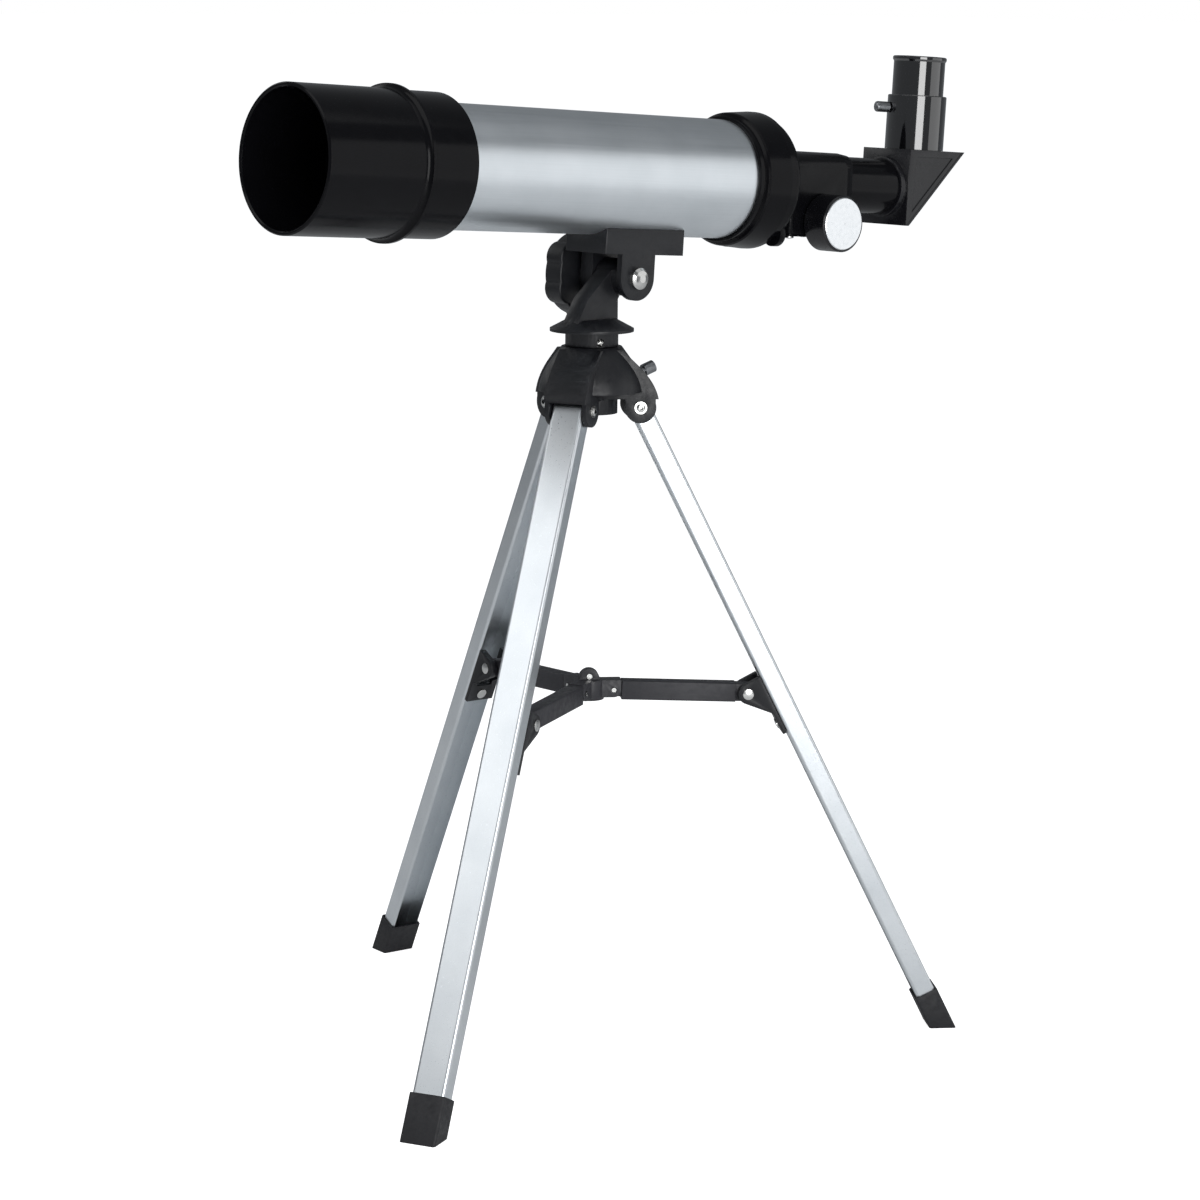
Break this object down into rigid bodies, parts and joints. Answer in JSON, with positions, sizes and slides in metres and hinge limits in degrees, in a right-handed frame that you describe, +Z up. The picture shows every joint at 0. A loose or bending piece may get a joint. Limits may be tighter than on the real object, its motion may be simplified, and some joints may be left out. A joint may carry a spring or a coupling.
{
  "type": "telescope on tripod",
  "caption": "Small refracting telescope with hood, rack focuser, right-angle diagonal and eyepiece, on a folding table tripod with channel legs and a spreader.",
  "frame": {"origin": "on the surface it stands on, under the vertical axis that the telescope pans about", "axes": "+Z up; the tube points its objective towards -X with its nose slightly up; the focus knob is on the -Y side"},
  "size_m": [0.4148, 0.2906, 0.4612],
  "materials": {
    "anodised_aluminium": "satin anodised",
    "gloss_black_abs": "polished moulding",
    "satin_black_nylon": "fine moulded texture",
    "black_rubber": "moulded rubber",
    "nickel_plated_steel": "bright plated",
    "zinc_plated_steel": "zinc plated",
    "blackened_barrel": "matt black",
    "white_disc": "polished",
    "coated_glass": "coated",
    "front_mirror": "front silvered"
  },
  "bodies": {
    "tripod_hub": {"hub_housing": "satin_black_nylon", "leg_rivets": "nickel_plated_steel", "rivet_washers": "nickel_plated_steel"},
    "pan_head": {"yoke": "satin_black_nylon", "neck_screw": "nickel_plated_steel", "azimuth_spindle": "zinc_plated_steel", "spindle_washer": "zinc_plated_steel"},
    "azimuth_lock": {"azimuth_lock_screw": "zinc_plated_steel"},
    "telescope": {"saddle": "satin_black_nylon", "saddle_screws": "zinc_plated_steel", "altitude_bolt": "nickel_plated_steel", "objective_cell": "gloss_black_abs", "lens_keeper": "satin_black_nylon", "crown_lens": "coated_glass", "flint_lens": "coated_glass", "optical_tube": "anodised_aluminium", "front_baffle": "satin_black_nylon", "rear_baffle": "satin_black_nylon", "rear_ring": "gloss_black_abs", "ring_screws": "nickel_plated_steel", "focuser_body": "gloss_black_abs", "pinion_cover": "gloss_black_abs", "cover_screws": "nickel_plated_steel", "flange_screws": "nickel_plated_steel"},
    "clamp_knob": {"altitude_clamp_knob": "satin_black_nylon"},
    "hood": {"dew_hood": "gloss_black_abs"},
    "drawtube": {"drawtube": "gloss_black_abs", "focus_rack": "satin_black_nylon"},
    "focus_knob": {"pinion_shaft": "zinc_plated_steel", "focus_knob": "gloss_black_abs", "knob_disc": "white_disc"},
    "diagonal": {"diagonal_body": "gloss_black_abs", "diagonal_cover": "gloss_black_abs", "diagonal_mirror": "front_mirror", "diagonal_barrel": "blackened_barrel", "eyepiece_sleeve": "gloss_black_abs"},
    "eyepiece": {"eyepiece_barrel": "nickel_plated_steel", "eyepiece_body": "gloss_black_abs", "eye_lens": "coated_glass", "field_lens": "coated_glass"},
    "eyepiece_lock": {"set_screw": "zinc_plated_steel"},
    "spreader": {"spreader_hub": "satin_black_nylon", "spreader_rivet": "nickel_plated_steel", "spreader_pins": "nickel_plated_steel"},
    "leg_a": {"leg_a": "anodised_aluminium", "foot_a": "black_rubber", "bracket_a": "satin_black_nylon", "bracket_rivets_a": "nickel_plated_steel"},
    "arm_a": {"spreader_arm_a": "satin_black_nylon"},
    "leg_b": {"leg_b": "anodised_aluminium", "foot_b": "black_rubber", "bracket_b": "satin_black_nylon", "bracket_rivets_b": "nickel_plated_steel"},
    "arm_b": {"spreader_arm_b": "satin_black_nylon"},
    "leg_c": {"leg_c": "anodised_aluminium", "foot_c": "black_rubber", "bracket_c": "satin_black_nylon", "bracket_rivets_c": "nickel_plated_steel"},
    "arm_c": {"spreader_arm_c": "satin_black_nylon"}
  },
  "joints": [
    {"name": "pan", "type": "hinge", "parent": "tripod_hub", "child": "pan_head", "pos_m": [0, 0, 0.33], "axis": [0, 0, 1], "continuous": true},
    {"name": "tilt", "type": "hinge", "parent": "pan_head", "child": "telescope", "pos_m": [0.01554, 0, 0.3612], "axis": [0, 1, 0], "range_deg": [-25, 60]},
    {"name": "azimuth_lock_turn", "type": "hinge", "parent": "tripod_hub", "child": "azimuth_lock", "pos_m": [0.01223, -0.0026, 0.3115], "axis": [0.9192, -0.1954, 0.342], "continuous": true},
    {"name": "tilt_clamp_turn", "type": "hinge", "parent": "telescope", "child": "clamp_knob", "pos_m": [0.01554, 0, 0.3612], "axis": [0, 1, 0], "continuous": true},
    {"name": "hood_pull", "type": "slide", "parent": "telescope", "child": "hood", "axis": [-0.9979, 0, 0.0642], "range_m": [0, 0.06]},
    {"name": "focus", "type": "slide", "parent": "telescope", "child": "drawtube", "axis": [0.9979, 0, -0.0642], "range_m": [-0.03, 0.01]},
    {"name": "focus_knob_turn", "type": "hinge", "parent": "telescope", "child": "focus_knob", "pos_m": [0.13565, 0, 0.38233], "axis": [0, -1, 0], "range_deg": [-192, 574]},
    {"name": "diagonal_turn", "type": "hinge", "parent": "drawtube", "child": "diagonal", "pos_m": [0.21456, 0, 0.3955], "axis": [0.9979, 0, -0.0642], "continuous": true},
    {"name": "eyepiece_pull", "type": "slide", "parent": "diagonal", "child": "eyepiece", "axis": [0.0642, 0, 0.9979], "range_m": [0, 0.03]},
    {"name": "eyepiece_lock_turn", "type": "hinge", "parent": "diagonal", "child": "eyepiece_lock", "pos_m": [0.206, 0.00518, 0.43543], "axis": [-0.9044, 0.4226, 0.0582], "continuous": true},
    {"name": "leg_a_fold", "type": "hinge", "parent": "tripod_hub", "child": "leg_a", "pos_m": [-0.02002, -0.00888, 0.3023], "axis": [0.4055, -0.9141, 0], "range_deg": [0, 24]},
    {"name": "leg_b_fold", "type": "hinge", "parent": "tripod_hub", "child": "leg_b", "pos_m": [0.00232, 0.02178, 0.3023], "axis": [-0.9944, 0.1059, 0], "range_deg": [0, 24.2]},
    {"name": "leg_c_fold", "type": "hinge", "parent": "tripod_hub", "child": "leg_c", "pos_m": [0.0177, -0.0129, 0.3023], "axis": [0.5889, 0.8082, 0], "range_deg": [0, 24.2]},
    {"name": "spreader_lift", "type": "slide", "parent": "tripod_hub", "child": "spreader", "axis": [0, 0, 1], "range_m": [0, 0.05194]},
    {"name": "arm_a_fold", "type": "hinge", "parent": "spreader", "child": "arm_a", "pos_m": [-0.01051, -0.00466, 0.16797], "axis": [0.4055, -0.9141, 0], "range_deg": [0, 85.45]},
    {"name": "arm_b_fold", "type": "hinge", "parent": "spreader", "child": "arm_b", "pos_m": [0.00122, 0.01144, 0.16797], "axis": [-0.9944, 0.1059, 0], "range_deg": [0, 85.45]},
    {"name": "arm_c_fold", "type": "hinge", "parent": "spreader", "child": "arm_c", "pos_m": [0.00929, -0.00677, 0.16797], "axis": [0.5889, 0.8082, 0], "range_deg": [0, 85.45]}
  ],
  "couplings": [
    {"joint": "leg_b_fold", "follows": "leg_a_fold", "ratio": 1},
    {"joint": "leg_c_fold", "follows": "leg_a_fold", "ratio": 1},
    {"joint": "spreader_lift", "follows": "leg_a_fold", "m_per_rad": 0.12281},
    {"joint": "focus_knob_turn", "follows": "focus", "rad_per_m": -333.33},
    {"joint": "arm_a_fold", "follows": "leg_a_fold", "ratio": 3.5398},
    {"joint": "arm_b_fold", "follows": "leg_a_fold", "ratio": 3.5398},
    {"joint": "arm_c_fold", "follows": "leg_a_fold", "ratio": 3.5398}
  ]
}
